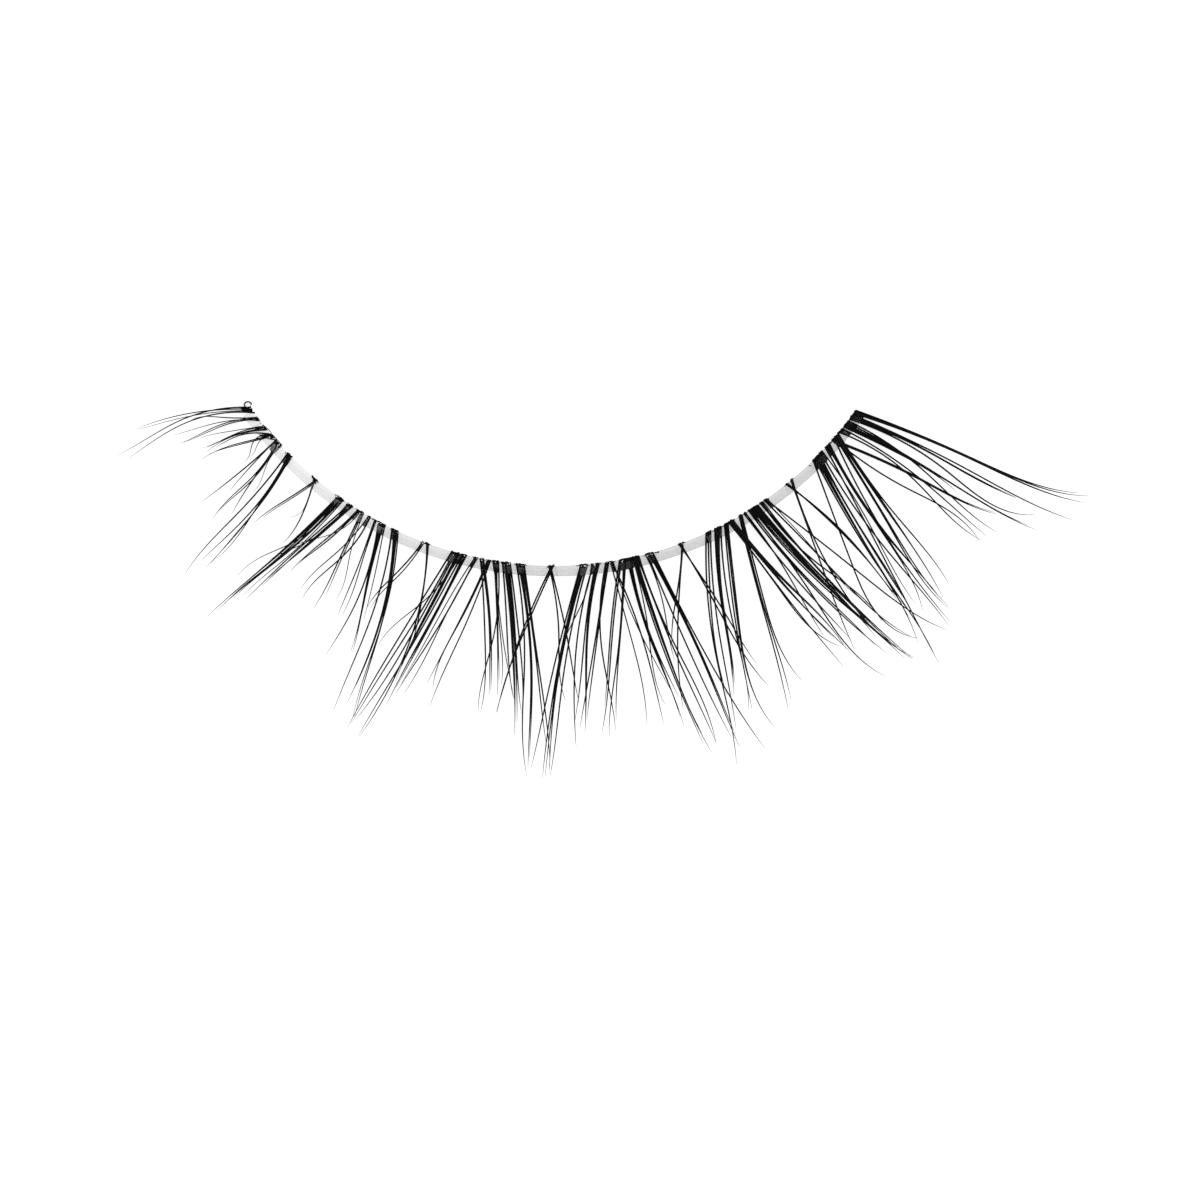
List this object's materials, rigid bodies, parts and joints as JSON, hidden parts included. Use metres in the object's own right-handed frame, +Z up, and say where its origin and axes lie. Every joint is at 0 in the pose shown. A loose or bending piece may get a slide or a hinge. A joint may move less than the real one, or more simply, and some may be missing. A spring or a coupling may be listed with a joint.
{
  "type": "false eyelash strip",
  "caption": "Curved clear band carrying knotted tufts and crossed pairs of fine black lash fibres that sweep outwards and curl up; worn glued along the upper eyelid.",
  "frame": {"origin": "middle of the band's flat underside, the face that is glued to the eyelid and that rests on a surface", "axes": "+X along the band to the outer corner of the eye, +Y to the eyelid's side of the band, the lashes reach towards -Y, +Z up, the way the lashes curl"},
  "size_m": [0.0475, 0.0189, 0.0064],
  "materials": {
    "clear_film": "clear, faintly streaked along its length",
    "black_fibre": "soft satin synthetic lash fibre"
  },
  "bodies": {
    "root": {"clear_band": "clear_film", "lash_tuft_01": "black_fibre", "lash_tuft_02": "black_fibre", "lash_tuft_03": "black_fibre", "lash_tuft_04": "black_fibre", "lash_tuft_05": "black_fibre", "lash_tuft_06": "black_fibre", "cross_pair_1": "black_fibre", "lash_tuft_07": "black_fibre", "lash_tuft_08": "black_fibre", "lash_tuft_09": "black_fibre", "lash_tuft_10": "black_fibre", "lash_tuft_11": "black_fibre", "lash_tuft_12": "black_fibre", "cross_pair_2": "black_fibre", "lash_tuft_13": "black_fibre", "lash_tuft_14": "black_fibre", "lash_tuft_15": "black_fibre", "lash_tuft_16": "black_fibre", "lash_tuft_17": "black_fibre", "lash_tuft_18": "black_fibre", "cross_pair_3": "black_fibre", "lash_tuft_19": "black_fibre", "lash_tuft_20": "black_fibre", "lash_tuft_21": "black_fibre", "lash_tuft_22": "black_fibre", "lash_tuft_23": "black_fibre", "lash_tuft_24": "black_fibre", "cross_pair_4": "black_fibre", "lash_tuft_25": "black_fibre", "lash_tuft_26": "black_fibre", "lash_tuft_27": "black_fibre", "lash_tuft_28": "black_fibre", "lash_tuft_29": "black_fibre", "lash_tuft_30": "black_fibre", "lash_tuft_31": "black_fibre", "lash_tuft_32": "black_fibre", "cross_pair_5": "black_fibre", "lash_tuft_33": "black_fibre", "lash_tuft_34": "black_fibre", "lash_tuft_35": "black_fibre", "lash_tuft_36": "black_fibre", "lash_tuft_37": "black_fibre", "lash_tuft_38": "black_fibre"}
  },
  "joints": []
}
